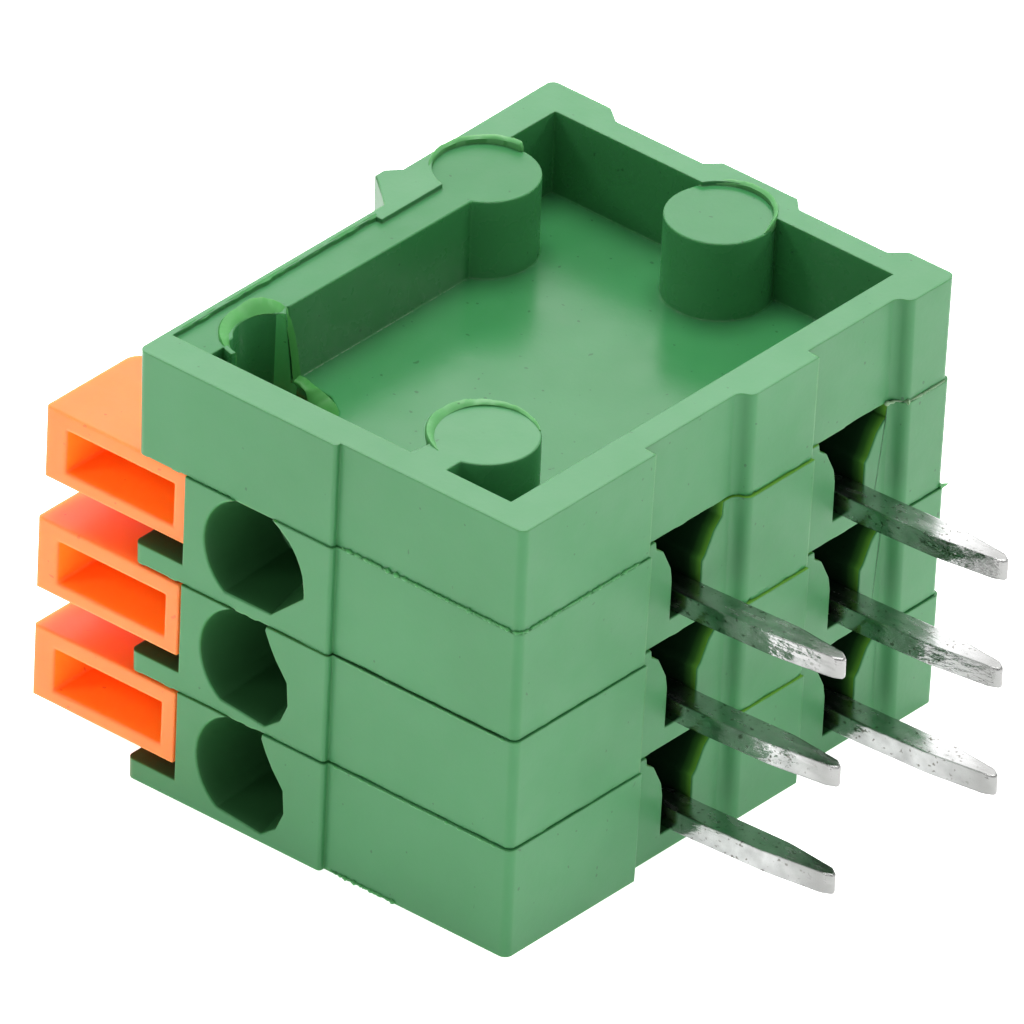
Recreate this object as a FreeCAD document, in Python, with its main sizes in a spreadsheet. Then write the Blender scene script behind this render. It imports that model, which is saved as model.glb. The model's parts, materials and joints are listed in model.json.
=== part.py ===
import FreeCAD, Part
import Sketcher
import os

# Three-pole spring terminal block for a circuit board: three equal slices stacked along Z, closed by a
# tray-shaped end plate. Wires enter along +Y, the solder pins leave along +X, the buttons stand out at -X.

doc = FreeCAD.newDocument("SpringTerminalBlock")
sheet = doc.addObject("Spreadsheet::Sheet", "Sizes")


class Size:
    """A length with its value and the sheet formula that drives it."""

    def __init__(self, value, formula):
        self.value = value
        self.formula = formula

    def join(self, other, sign, value):
        return Size(value, "(%s %s %s)" % (self.formula, sign, other.formula))

    def __add__(self, other):
        other = as_size(other)
        return self.join(other, "+", self.value + other.value)

    def __sub__(self, other):
        other = as_size(other)
        return self.join(other, "-", self.value - other.value)

    def __mul__(self, other):
        other = as_size(other)
        return self.join(other, "*", self.value * other.value)

    def __truediv__(self, other):
        other = as_size(other)
        return self.join(other, "/", self.value / other.value)

    def __neg__(self):
        return Size(-self.value, "(0 - %s)" % self.formula)


def as_size(number):
    if isinstance(number, Size):
        return number
    return Size(float(number), "%.6g" % number)


rows = {"count": 0}


def size(alias, value, note):
    rows["count"] += 1
    row = rows["count"]
    sheet.set("A%d" % row, note)
    sheet.set("B%d" % row, str(value))
    sheet.setAlias("B%d" % row, alias)
    return Size(value, "Sizes." + alias)


# stack
pitch = size("pitch", 2.54, "height of one slice, the pole pitch")
end_height = size("endHeight", 2.42, "height of the end plate")
poles = size("poles", 3, "number of slices")
floor = size("floorThickness", 0.45, "floor of a slice")
draft = size("draftAngle", 0.9, "draft of the outer walls, degrees")

# plan outline
slice_left = size("sliceLeft", 0.03, "left flank of a slice")
end_left = size("endLeft", 0.02, "left flank of the end plate")
front_left = size("frontLeft", -0.14, "front face, left part")
front_right = size("frontRight", 0.001, "front face, right part")
front_step = size("frontStep", 5.12, "step between the two parts of the front face")
pad = size("padFace", 9.88, "face of the three board pads")
pad_low = pad - size("padStep", 0.3, "how far the pads stand out")
back = size("backFace", 13.14, "back face")
groove = size("grooveDepth", 0.29, "depth of the grooves in the back face")
back_low = back - groove
rear_left = size("rearLeft", -0.62, "left flank behind the shoulder")
shoulder = size("shoulderOut", -0.84, "outermost point of the shoulder")
shoulder_start = size("shoulderStart", 7.33, "start of the shoulder")
corner = size("cornerRadius", 0.18, "radius of the upright corners")
pad_round = size("padRound", 0.22, "radius at the foot of the second and third pad")

# sockets and pegs
socket_outer = size("socketOuter", 1.14, "radius of a socket boss on the end plate")
peg = size("pegRadius", 0.5, "radius of a peg on a slice")
peg_gap = size("pegGap", 0.02, "clearance of a peg in its socket")
peg_height = size("pegHeight", 0.9, "height of a peg")
socket_extra = size("socketExtra", 0.15, "depth of a socket below the peg's end")
peg_one = (size("pegOneX", 0.54, "first peg"), back - size("pegOneToBack", 3.41, "first peg to the back face"))
peg_two = (pad - size("pegTwoToPad", 4.94, "second peg to the pad face"),
           back - size("pegTwoToBack", 1.36, "second peg to the back face"))
peg_three = (pad - size("pegThreeToPad", 2.9, "third peg to the pad face"), size("pegThreeY", 2.19, "third peg"))
sleeve_at = (size("sleeveX", 1.52, "broken sleeve"), size("sleeveY", 2.2, "broken sleeve"))
small_peg = size("smallPeg", 0.25, "radius of the small fourth peg")
small_peg_at = (size("smallPegX", 1.7, "fourth peg"), size("smallPegY", 2.2, "fourth peg"))

# tray of the end plate
tray_floor = size("trayFloor", 0.51, "floor of the tray")
tray_left = size("trayLeft", 1.05, "inner left wall, front part")
tray_left_rear = size("trayLeftRear", 0.15, "inner left wall, rear part")
tray_right = pad - size("trayRightWall", 0.91, "right wall of the tray")
tray_front = size("trayFront", 0.68, "inner front wall")
tray_back = back - size("trayBackWall", 0.82, "back wall of the tray")
boss_drop = size("bossDrop", 0.1, "boss discs and lowered strip below the rim")
web_left = size("webLeft", 0.58, "web between front boss and wall, left of the boss centre")
web_right = size("webRight", 0.32, "web between front boss and wall, right of the boss centre")
ledge_in = size("ledgeStart", 0.13, "start of the lowered strip on the left wall")
sleeve_wall = size("sleeveWall", 0.3, "wall of the broken sleeve")
sleeve_foot = size("sleeveFoot", 1.32, "radius of the gap that the broken sleeve leaves in the floor")
stump_top = size("stumpTop", 1.0, "height of the low stump beside the standing part of the sleeve")
set_back = size("setBack", 0.15, "how much deeper the top button sits")
ledge_step = size("ledgeStep", 0.18, "how much narrower the strip is beside the shoulder")

# wire entry
wire_x = size("wireX", 3.1, "centre of a wire entry")
wire_z = size("wireZ", 1.36, "height of a wire entry in its slice")
wire_radius = size("wireRadius", 1.245, "radius of the mouth")
wire_flat = size("wireFlat", 0.33, "flat bottom of the mouth")
mouth_scale_gain = size("throatScale", 0.3, "share by which the funnel narrows")
mouth_ahead = size("mouthAhead", 0.3, "start of the funnel cut in front of the face")
funnel_depth = size("funnelDepth", 1.6, "depth of the funnel")
wire_bore = size("wireBore", 0.8, "radius of the guide behind the funnel")
guide_end = size("guideEnd", 3.4, "end of the guide")

# contact
contact_thick = size("contactThick", 0.48, "sheet thickness of the contact")
contact_gap = size("contactGap", 0.05, "clearance around the contact in its pocket")
clamp_wall = size("clampWall", 4.15, "face that the wire is pressed on")
clamp_wall_thick = size("clampWallThick", 0.45, "thickness of the clamping wall")
clamp_wall_height = size("clampWallHeight", 1.72, "height of the clamping wall over the floor")
bar_right = size("barRight", 5.3, "right edge of the base bar")
row_one = size("rowOne", 5.5, "centre of the first cavity")
row_two = back - size("rowTwoToBack", 2.64, "centre of the second cavity to the back face")
row_step = row_two - row_one
bar_front = row_one - size("barAhead", 1.6, "base bar ahead of the first cavity's centre")
clamp_end = row_two - size("clampBefore", 1.65, "end of the clamping wall to the second cavity's centre")
cavity_half = size("cavityHalf", 0.46, "half width of a cavity")
mouth_half = size("mouthHalf", 1.06, "half width of a cavity's flared top")
mouth_start = size("mouthStart", 1.5, "height where the flare starts")
mouth_depth = size("mouthDepth", 3.0, "depth of the flare behind the low face")
pin_near = size("pinNear", -0.19, "near side of a pin from the cavity's centre")
pin_far = size("pinFar", 0.43, "far side of a pin from the cavity's centre")
pin_end = pad + size("pinOut", 3.62, "length of the pins outside the pads")
pin_taper_near = size("pinTaperNear", 1.7, "length of the near taper")
pin_taper_far = size("pinTaperFar", 1.5, "length of the far taper")
pin_lean = size("pinLean", 0.1, "sideways lean of a pin at the taper")

# button
button_left = size("buttonLeft", -2.5, "left end of the button")
button_right = size("buttonRight", 1.22, "right side of the button")
button_gap = size("buttonGap", 0.08, "gap between button and housing wall")
button_rear = size("buttonRear", 2.65, "rear face of the button's head")
button_round = size("buttonRound", 0.4, "radius of the head's rear left corner")
button_low = size("buttonLow", 0.8, "underside of the head in its slice")
button_top = size("buttonTop", 2.47, "top of the head in its slice")
travel = size("travel", 1.2, "stroke of the button")
stop_gap = size("stopGap", 0.05, "gap left behind the head at full stroke")
recess_left = size("recessLeft", -1.97, "left edge of the recess")
recess_right = size("recessRight", 0.87, "right edge of the recess")
recess_low = size("recessLow", 1.1, "lower edge of the recess")
recess_top = size("recessTop", 2.1, "upper edge of the recess")
recess_depth = size("recessDepth", 1.5, "depth of the recess")
recess_taper = size("recessTaper", 8, "taper of the recess walls, degrees")
stem_left = size("stemLeft", 0.5, "left side of the stem")
stem_right = size("stemRight", 1.15, "right side of the stem")
stem_low = size("stemLow", 0.95, "underside of the stem")
stem_top = size("stemTop", 2.2, "top of the stem")
stem_gap = size("stemGap", 0.06, "clearance of the stem in its slot")
slot_wall = size("slotWall", 0.6, "thickness of the wall with the stem's slot")
catch = size("catchOut", 0.45, "how far the catch stands out")
catch_long = size("catchLong", 0.38, "length of the catch")

# spring
strip = size("stripThick", 0.2, "thickness of the spring strip")
strip_low = size("stripLow", 0.98, "lower edge of the strip")
strip_top = size("stripTop", 2.3, "upper edge of the strip")
spring_gap = size("springGap", 0.04, "gap between spring and neighbours at rest")

# overall frame: the origin is the bottom centre of the whole block
shift_x = -(button_left + pin_end) / 2
shift_y = -(front_left + back) / 2

doc.recompute()


def plane_of(body, role):
    for feature in body.Origin.OriginFeatures:
        if feature.Role == role:
            return feature
    raise RuntimeError("no plane " + role)


def new_body(label, height):
    body = doc.addObject("PartDesign::Body", label)
    body.Label = label
    body.setExpression("Placement.Base.x", shift_x.formula)
    body.setExpression("Placement.Base.y", shift_y.formula)
    body.setExpression("Placement.Base.z", height.formula)
    return body


def new_sketch(body, name, role, offset):
    sketch = body.newObject("Sketcher::SketchObject", name)
    sketch.AttachmentSupport = (plane_of(body, role), [""])
    sketch.MapMode = "FlatFace"
    offset = as_size(offset)
    sketch.AttachmentOffset = FreeCAD.Placement(FreeCAD.Vector(0, 0, offset.value), FreeCAD.Rotation())
    sketch.setExpression("AttachmentOffset.Base.z", offset.formula)
    return sketch


def pin_point(sketch, geometry, end, point):
    """Ties one point of a sketch to two formulas, measured from the sketch's origin."""
    for kind, coordinate in (("DistanceX", point[0]), ("DistanceY", point[1])):
        index = sketch.addConstraint(Sketcher.Constraint(kind, -1, 1, geometry, end, coordinate.value))
        sketch.setExpression("Constraints[%d]" % index, coordinate.formula)


def polygon(sketch, corners):
    corners = [(as_size(a), as_size(b)) for a, b in corners]
    vectors = [FreeCAD.Vector(a.value, b.value, 0) for a, b in corners]
    count = len(corners)
    first = None
    for k in range(count):
        line = sketch.addGeometry(Part.LineSegment(vectors[k], vectors[(k + 1) % count]), False)
        if first is None:
            first = line
    for k in range(count):
        sketch.addConstraint(Sketcher.Constraint("Coincident", first + k, 2, first + (k + 1) % count, 1))
    for k in range(count):
        pin_point(sketch, first + k, 1, corners[k])


def rectangle(sketch, left, low, right, top):
    polygon(sketch, [(left, low), (right, low), (right, top), (left, top)])


def circle(sketch, centre, radius):
    centre = (as_size(centre[0]), as_size(centre[1]))
    radius = as_size(radius)
    middle = FreeCAD.Vector(centre[0].value, centre[1].value, 0)
    shape = sketch.addGeometry(Part.Circle(middle, FreeCAD.Vector(0, 0, 1), radius.value), False)
    pin_point(sketch, shape, 3, centre)
    index = sketch.addConstraint(Sketcher.Constraint("Radius", shape, radius.value))
    sketch.setExpression("Constraints[%d]" % index, radius.formula)


def grow(body, kind, name, sketch, length, taper=None, back_way=False):
    """Adds a pad or a pocket and makes sure that the solid really changed in the right sense."""
    doc.recompute()
    before = body.Shape.Volume if body.Tip else 0.0
    feature = body.newObject("PartDesign::" + kind, name)
    feature.Profile = sketch
    feature.Reversed = back_way
    length = as_size(length)
    feature.Length = length.value
    feature.setExpression("Length", length.formula)
    if taper is not None:
        feature.TaperAngle = taper.value
        feature.setExpression("TaperAngle", taper.formula)
    sketch.Visibility = False
    doc.recompute()
    after = body.Shape.Volume
    if kind == "Pad" and after <= before + 1e-6:
        raise RuntimeError("%s of %s adds nothing" % (name, body.Label))
    if kind == "Pocket" and after >= before - 1e-6:
        raise RuntimeError("%s of %s cuts nothing" % (name, body.Label))
    return feature


def upright_edges(feature, spots, reach=0.12):
    """Names of the upright edges of a feature whose middle lies over one of the given plan points."""
    names = []
    for number, edge in enumerate(feature.Shape.Edges, 1):
        box = edge.BoundBox
        if box.ZLength < 5 * max(box.XLength, box.YLength, 0.02):
            continue
        middle = box.Center
        for x, y in spots:
            if abs(middle.x - x.value) < reach and abs(middle.y - y.value) < reach:
                names.append("Edge%d" % number)
    return names


def round_edges(body, name, base, edges, radius):
    fillet = body.newObject("PartDesign::Fillet", name)
    fillet.Base = (base, edges)
    fillet.Radius = radius.value
    fillet.setExpression("Radius", radius.formula)
    doc.recompute()
    return fillet


def outline(left):
    """Plan of a slice and of the end plate, from the front left corner round to the shoulder."""
    width = pad - rear_left
    pad_one = row_one - row_step * 0.31
    pad_two = row_one + row_step * 0.3
    pad_two_end = row_one + row_step * 0.686
    pad_three = row_two + row_step * 0.272
    return [
        (left, front_left),
        (front_step, front_left),
        (front_step, front_right),
        (pad, front_right),
        (pad, pad_one),
        (pad_low, pad_one),
        (pad_low, pad_two - 0.14),
        (pad, pad_two),
        (pad, pad_two_end),
        (pad_low, pad_two_end),
        (pad_low, pad_three - 0.14),
        (pad, pad_three),
        (pad, back),
        (pad - width * 0.116, back),
        (pad - width * 0.116 - groove, back_low),
        (pad - width * 0.364, back_low),
        (pad - width * 0.364 - groove, back),
        (pad - width * 0.574, back),
        (pad - width * 0.574 - groove, back_low),
        (pad - width * 0.821, back_low),
        (pad - width * 0.821 - groove * 1.3, back),
        (rear_left, back),
        (rear_left, shoulder_start + 1.2),
        (shoulder, shoulder_start + 0.93),
        (shoulder, shoulder_start + 0.67),
        (left, shoulder_start),
    ]


def outer_block(body, left, height):
    """Outer block whose walls lean outwards by the draft angle, with rounded upright corners."""
    plan = new_sketch(body, "Plan", "XY_Plane", 0)
    polygon(plan, outline(left))
    block = grow(body, "Pad", "Block", plan, height)
    straight = block.Shape.BoundBox.XLength
    walls = ["Face%d" % number for number, face in enumerate(block.Shape.Faces, 1)
             if face.BoundBox.ZLength > height.value / 2]
    lean = body.newObject("PartDesign::Draft", "WallDraft")
    lean.Base = (block, walls)
    lean.NeutralPlane = (plane_of(body, "XY_Plane"), [""])
    lean.Angle = draft.value
    lean.setExpression("Angle", draft.formula)
    doc.recompute()
    if lean.Shape.BoundBox.XLength < straight + 0.01:
        lean.Reversed = True
        doc.recompute()
    if lean.Shape.BoundBox.XLength < straight + 0.01:
        raise RuntimeError("the draft of %s does not widen the block" % body.Label)
    body.Tip = lean
    corners = [(left, front_left), (pad, front_right), (pad, back), (rear_left, back)]
    body.Tip = round_edges(body, "Corners", lean, upright_edges(lean, corners), corner)
    feet = [(pad_low, row_one + row_step * 0.3 - 0.14), (pad_low, row_two + row_step * 0.272 - 0.14)]
    body.Tip = round_edges(body, "PadFeet", body.Tip, upright_edges(body.Tip, feet), pad_round)
    return body.Tip


pegs = (peg_one, peg_two, peg_three)
stop_wall = button_rear + travel + stop_gap
slot_end = stop_wall + slot_wall
notch_right = button_right + button_gap
rows_y = (row_one, row_two)


def make_housing(label, height, faceted):
    body = new_body(label, height)
    outer_block(body, slice_left, pitch)
    depth = pitch - floor

    notch = new_sketch(body, "ButtonBay", "XY_Plane", pitch)
    rectangle(notch, slice_left - 1, front_left - 1, notch_right, stop_wall)
    grow(body, "Pocket", "CutButtonBay", notch, depth)

    chamber = new_sketch(body, "Chamber", "XY_Plane", pitch)
    lane_left = wire_x - wire_bore - 0.25
    right = bar_right + contact_gap
    rear = row_two + cavity_half
    polygon(chamber, [
        (stem_left - stem_gap, stop_wall - 0.1),
        (stem_right + stem_gap, stop_wall - 0.1),
        (stem_right + stem_gap, slot_end),
        (lane_left, slot_end),
        (lane_left, guide_end),
        (right, guide_end),
        (right, rear),
        (clamp_wall - contact_gap, rear),
        (clamp_wall - contact_gap, clamp_end + contact_gap),
        (stem_left + 1.2, clamp_end + contact_gap),
        (stem_left - stem_gap, clamp_end - 0.4),
    ])
    grow(body, "Pocket", "CutChamber", chamber, depth)

    cores = new_sketch(body, "Cores", "XY_Plane", pitch)
    rectangle(cores, bar_right + 0.6, tray_front, tray_right, row_one - mouth_half - 0.3)
    rectangle(cores, bar_right + 0.6, row_one + mouth_half + 0.3, tray_right - 0.6, row_two - mouth_half - 0.3)
    grow(body, "Pocket", "CutCores", cores, depth)
    column = new_sketch(body, "Column", "XY_Plane", 0)
    circle(column, peg_three, socket_outer)
    grow(body, "Pad", "PegColumn", column, pitch)

    mouth = new_sketch(body, "WireMouth", "XZ_Plane", mouth_ahead)
    wire_outline(mouth, 1 + (mouth_scale_gain * mouth_ahead / funnel_depth).value, faceted)
    throat = new_sketch(body, "WireThroat", "XZ_Plane", -funnel_depth)
    wire_outline(throat, 1 - mouth_scale_gain.value, faceted)
    doc.recompute()
    before = body.Shape.Volume
    funnel = body.newObject("PartDesign::SubtractiveLoft", "Funnel")
    funnel.Profile = mouth
    funnel.Sections = [throat]
    funnel.Ruled = True
    doc.recompute()
    if body.Shape.Volume >= before - 0.5:
        raise RuntimeError("the funnel of %s cuts nothing" % label)
    guide = new_sketch(body, "WireGuide", "XZ_Plane", -front_left)
    circle(guide, (wire_x, wire_z), wire_bore)
    grow(body, "Pocket", "CutGuide", guide, guide_end - front_left + 0.1)

    for number, centre in enumerate(rows_y, 1):
        channel = new_sketch(body, "Channel%d" % number, "YZ_Plane", pad + 0.3)
        rectangle(channel, centre - cavity_half, floor, centre + cavity_half, pitch + 0.2)
        grow(body, "Pocket", "CutChannel%d" % number, channel, pad + 0.3 - bar_right)
        flare = new_sketch(body, "Flare%d" % number, "YZ_Plane", pad + 0.3)
        polygon(flare, [
            (centre - cavity_half, mouth_start - 0.1),
            (centre + cavity_half, mouth_start - 0.1),
            (centre + cavity_half + 0.1, mouth_start),
            (centre + cavity_half + 0.33, mouth_start + 0.46),
            (centre + mouth_half - 0.03, mouth_start + 0.7),
            (centre + mouth_half, pitch + 0.2),
            (centre - mouth_half, pitch + 0.2),
            (centre - mouth_half + 0.06, mouth_start + 0.85),
            (centre - mouth_half + 0.28, mouth_start + 0.7),
            (centre - cavity_half - 0.06, mouth_start + 0.2),
        ])
        grow(body, "Pocket", "CutFlare%d" % number, flare, pad + 0.3 - pad_low + mouth_depth)

    tops = new_sketch(body, "PegPlan", "XY_Plane", pitch - 0.2)
    for centre in pegs:
        circle(tops, centre, peg)
    circle(tops, small_peg_at, small_peg)
    grow(body, "Pad", "Pegs", tops, peg_height + 0.2)
    holes = new_sketch(body, "SocketPlan", "XY_Plane", 0)
    for centre in pegs:
        circle(holes, centre, peg + peg_gap)
    circle(holes, small_peg_at, small_peg + peg_gap)
    grow(body, "Pocket", "Sockets", holes, peg_height + socket_extra, back_way=True)
    return body


def wire_outline(sketch, scale, faceted):
    """Mouth of a wire entry: round on the left, cut flat below, with corners on the right, open above."""
    middle = FreeCAD.Vector(wire_x.value, wire_z.value, 0)
    radius = wire_radius.value

    def spot(across, up):
        return FreeCAD.Vector(middle.x + across * scale, middle.y + up * scale, 0)

    low = wire_flat.value - middle.y
    half = 0.36 * radius
    high = (radius ** 2 - half ** 2) ** 0.5
    top = pitch.value + 0.2 - middle.y
    left_low = spot(-((radius ** 2 - low ** 2) ** 0.5), low)
    left_top = spot(-half, high)
    if faceted:
        right_low = spot(0.36 * radius, low - 0.12)
        turns = ((0.66, -0.69), (0.81, -0.34), (0.78, 0.08), (0.55, 0.39), (0.43, 0.6), (0.32, 0.84))
        chain = [right_low] + [spot(across * radius, up * radius) for across, up in turns]
        right_top = chain[-1]
        right = [Part.LineSegment(chain[k], chain[k + 1]) for k in range(len(turns))]
    else:
        right_low = spot(0.4 * radius, low)
        knee = spot(1.06 * radius, -0.24 * radius)
        right_top = spot(half, high)
        right_side = Part.Arc(knee, spot(0.93 * radius, 0.367 * radius), right_top)
        right = [Part.LineSegment(right_low, knee), right_side]
    above = [spot(half, top), spot(-half, top)]
    pieces = [Part.LineSegment(left_low, right_low)] + right + [
        Part.LineSegment(right_top, above[0]),
        Part.LineSegment(above[0], above[1]),
        Part.LineSegment(above[1], left_top),
        Part.Arc(left_top, spot(-radius, 0), left_low),
    ]
    for piece in pieces:
        sketch.addGeometry(piece, False)
    for index in range(len(pieces)):
        sketch.addConstraint(Sketcher.Constraint("Block", index))


def make_end_plate(label, height):
    body = new_body(label, height)
    outer_block(body, end_left, end_height)

    tray = new_sketch(body, "Tray", "XY_Plane", end_height)
    polygon(tray, [
        (tray_left, tray_front),
        (tray_right, tray_front),
        (tray_right, tray_back),
        (tray_left_rear, tray_back),
        (tray_left_rear, peg_one[1]),
        (tray_left, peg_one[1]),
    ])
    grow(body, "Pocket", "CutTray", tray, end_height - tray_floor)

    ledge = new_sketch(body, "Ledge", "XY_Plane", end_height)
    polygon(ledge, [
        (ledge_in, tray_front),
        (tray_left + 0.1, tray_front),
        (tray_left + 0.1, peg_one[1] - 0.9),
        (ledge_in + ledge_step, peg_one[1] - 0.9),
        (ledge_in + ledge_step, shoulder_start - 0.5),
        (ledge_in, shoulder_start - 0.5),
    ])
    grow(body, "Pocket", "CutLedge", ledge, boss_drop)

    bosses = new_sketch(body, "BossPlan", "XY_Plane", 0)
    circle(bosses, peg_one, socket_outer)
    circle(bosses, peg_two, socket_outer)
    grow(body, "Pad", "Bosses", bosses, end_height - boss_drop)
    front_boss = new_sketch(body, "FrontBossPlan", "XY_Plane", 0)
    circle(front_boss, peg_three, socket_outer)
    grow(body, "Pad", "FrontBoss", front_boss, end_height)

    web = new_sketch(body, "FrontBossWeb", "XY_Plane", 0)
    rectangle(web, peg_three[0] - web_left, tray_front - 0.1, peg_three[0] + web_right, peg_three[1] - socket_outer * 0.7)
    grow(body, "Pad", "FrontBossRib", web, end_height)

    discs = new_sketch(body, "DiscRelief", "XY_Plane", end_height)
    circle(discs, peg_one, socket_outer - 0.06)
    circle(discs, peg_two, socket_outer - 0.06)
    grow(body, "Pocket", "CutDiscRelief", discs, boss_drop)

    # the fourth socket is a broken sleeve: its far side stands, a low stump follows, the rest is missing
    sleeve = new_sketch(body, "SleevePlan", "XY_Plane", 0)
    circle(sleeve, sleeve_at, socket_outer)
    grow(body, "Pad", "Sleeve", sleeve, end_height - boss_drop)
    missing = new_sketch(body, "SleeveMissing", "XY_Plane", end_height)
    reach = socket_outer * 1.4
    polygon(missing, [
        sleeve_at,
        (sleeve_at[0] - 0.25, tray_front + 0.001),
        (tray_left + 2.4, tray_front + 0.001),
        (sleeve_at[0] + reach, sleeve_at[1] + reach),
        (sleeve_at[0] + 0.3, sleeve_at[1] + reach),
    ])
    grow(body, "Pocket", "BreakSleeve", missing, end_height - tray_floor)
    stump = new_sketch(body, "StumpPlan", "XY_Plane", end_height)
    polygon(stump, [
        sleeve_at,
        (sleeve_at[0] + 0.4, sleeve_at[1] + reach),
        (sleeve_at[0] - 0.43, sleeve_at[1] + reach),
    ])
    grow(body, "Pocket", "CutStump", stump, end_height - stump_top)
    inside = new_sketch(body, "SleeveInside", "XY_Plane", end_height)
    circle(inside, sleeve_at, socket_outer - sleeve_wall)
    grow(body, "Pocket", "CutSleeveInside", inside, end_height)
    foot = new_sketch(body, "SleeveFoot", "XY_Plane", tray_floor)
    turn = sleeve_foot * 0.7071
    polygon(foot, [
        (sleeve_at[0] - 0.1, sleeve_at[1] - 0.9),
        (sleeve_at[0] + turn, sleeve_at[1] - 0.9),
        (sleeve_at[0] + sleeve_foot, sleeve_at[1] - 0.3),
        (sleeve_at[0] + sleeve_foot, sleeve_at[1] + 0.3),
        (sleeve_at[0] + turn, sleeve_at[1] + turn),
        (sleeve_at[0] + 0.45, sleeve_at[1] + sleeve_foot * 0.96),
        (sleeve_at[0] - 0.1, sleeve_at[1] + sleeve_foot),
    ])
    grow(body, "Pocket", "CutSleeveFoot", foot, tray_floor)

    holes = new_sketch(body, "SocketPlan", "XY_Plane", 0)
    for centre in pegs:
        circle(holes, centre, peg + peg_gap)
    grow(body, "Pocket", "Sockets", holes, peg_height + socket_extra, back_way=True)
    return body


def make_button(label, height, deeper):
    body = new_body(label, height)
    body.setExpression("Placement.Base.y", (shift_y + deeper).formula)
    plan = new_sketch(body, "HeadPlan", "XY_Plane", button_low)
    polygon(plan, [
        (button_left, front_left),
        (button_right, front_left),
        (button_right, button_rear),
        (button_left, button_rear),
    ])
    head = grow(body, "Pad", "Head", plan, button_top - button_low)
    heel = upright_edges(head, [(button_left, button_rear)])
    body.Tip = round_edges(body, "HeelCorner", head, heel, button_round)

    recess = new_sketch(body, "Recess", "XZ_Plane", -front_left)
    rectangle(recess, recess_left, recess_low, recess_right, recess_top)
    grow(body, "Pocket", "CutRecess", recess, recess_depth, taper=-recess_taper)

    stem = new_sketch(body, "StemPlan", "XY_Plane", stem_low)
    tip = slot_end + spring_gap + catch_long
    polygon(stem, [
        (stem_left, button_rear - 0.3),
        (stem_right, button_rear - 0.3),
        (stem_right, slot_end + spring_gap),
        (stem_right + catch, slot_end + spring_gap),
        (stem_right + catch, tip - 0.15),
        (stem_right + catch - 0.15, tip),
        (stem_left, tip),
    ])
    grow(body, "Pad", "Stem", stem, stem_top - stem_low)
    return body


def make_contact(label, height):
    body = new_body(label, height)
    plan = new_sketch(body, "BasePlan", "XY_Plane", floor)
    corners = [(clamp_wall, bar_front), (bar_right, bar_front)]
    for centre in rows_y:
        near = centre + pin_near
        far = centre + pin_far
        corners += [
            (bar_right, near),
            (pad, near),
            (pin_end - pin_taper_near, near + pin_lean),
            (pin_end - 0.12, near + pin_lean + 0.24),
            (pin_end, near + pin_lean + 0.3),
            (pin_end, far + pin_lean - 0.22),
            (pin_end - 0.15, far + pin_lean - 0.12),
            (pin_end - pin_taper_far, far + pin_lean),
            (pad, far),
            (bar_right, far),
        ]
    corners += [(clamp_wall, row_two + pin_far)]
    polygon(plan, corners)
    grow(body, "Pad", "Base", plan, contact_thick)

    wall = new_sketch(body, "WallPlan", "XY_Plane", floor)
    tab = clamp_wall - 0.9
    polygon(wall, [
        (clamp_wall, bar_front),
        (clamp_wall + clamp_wall_thick, bar_front),
        (clamp_wall + clamp_wall_thick, clamp_end),
        (tab, clamp_end),
        (tab, clamp_end - clamp_wall_thick),
        (clamp_wall, clamp_end - clamp_wall_thick),
    ])
    grow(body, "Pad", "ClampWall", wall, clamp_wall_height)
    return body


def make_spring(label, height, deeper):
    """Flat strip bent in plan: clamping leg, front bend under the stem, left leg, rear loop, anchor leg."""
    body = new_body(label, height)
    plan = new_sketch(body, "StripPlan", "XY_Plane", strip_low)
    front = slot_end + spring_gap + catch_long + spring_gap + deeper
    left = stem_left + 0.12
    rear = clamp_end - clamp_wall_thick - spring_gap
    tip = clamp_wall - spring_gap
    span = rear - front
    loop = span * 0.22
    bend = span * 0.09
    reach = span * 0.515
    polygon(plan, [
        (tip, front + reach),
        (tip - 1.85, front + 0.12),
        (tip - 2.15, front),
        (left + bend, front),
        (left, front + bend),
        (left, rear - loop),
        (left + loop, rear),
        (tip, rear),
        (tip, rear - strip),
        (left + loop + 0.1, rear - strip),
        (left + strip, rear - loop - 0.1),
        (left + strip, front + bend + 0.1),
        (left + bend + 0.1, front + strip),
        (tip - 2.22, front + strip),
        (tip - 1.99, front + 0.29),
        (tip - 0.1, front + reach + 0.2),
        (tip, front + reach + 0.2),
    ])
    grow(body, "Pad", "Strip", plan, strip_top - strip_low)
    return body


nodes = []
for pole in range(int(poles.value)):
    level = pitch * pole
    number = pole + 1
    top_one = number == int(poles.value)
    deeper = set_back if top_one else as_size(0)
    nodes.append(make_housing("pole_housing_%d" % number, level, not top_one))
    nodes.append(make_button("push_button_%d" % number, level, deeper))
    nodes.append(make_contact("contact_frame_%d" % number, level))
    nodes.append(make_spring("clamp_spring_%d" % number, level, deeper))
nodes.append(make_end_plate("end_plate", pitch * poles))

doc.recompute()

for thing in doc.Objects:
    if "Invalid" in thing.State or "Error" in thing.State:
        raise RuntimeError("%s failed: %s" % (thing.Label, thing.State))

os.makedirs("parts", exist_ok=True)
for node in nodes:
    shape = node.Shape
    if shape.isNull() or not shape.isValid():
        raise RuntimeError(node.Label + " has no valid shape")
    shape.exportStep("parts/%s.step" % node.Label)
    print("%-18s volume %8.3f  solids %d  faces %d" % (
        node.Label, shape.Volume, len(shape.Solids), len(shape.Faces)))
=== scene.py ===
import bpy
import bmesh
import json
import math
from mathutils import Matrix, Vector, noise


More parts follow.
